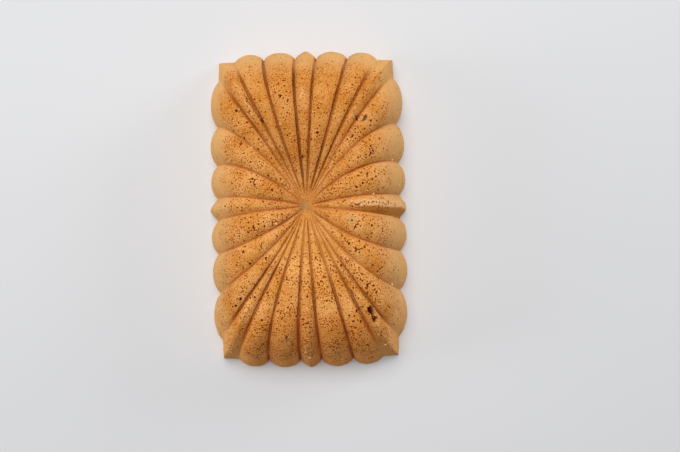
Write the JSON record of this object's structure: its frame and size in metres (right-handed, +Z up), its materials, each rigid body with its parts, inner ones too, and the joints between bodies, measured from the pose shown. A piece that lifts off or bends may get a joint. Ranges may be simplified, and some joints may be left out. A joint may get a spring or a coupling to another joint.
{
  "type": "hazelnut cake",
  "caption": "Golden brown fluted loaf cake, turned out of its tin, with round flutes and pointed ribs that run up the walls and meet in a shallow dimple on top.",
  "frame": {"origin": "centre of the flat base, on the surface that the cake stands on", "axes": "+X across the cake to the picture's right, +Y along the cake to the picture's top, +Z up"},
  "size_m": [0.1348, 0.2164, 0.0588],
  "materials": {
    "crust": "matt baked crust with fine pores"
  },
  "bodies": {
    "root": {"cake": "crust"}
  },
  "joints": []
}
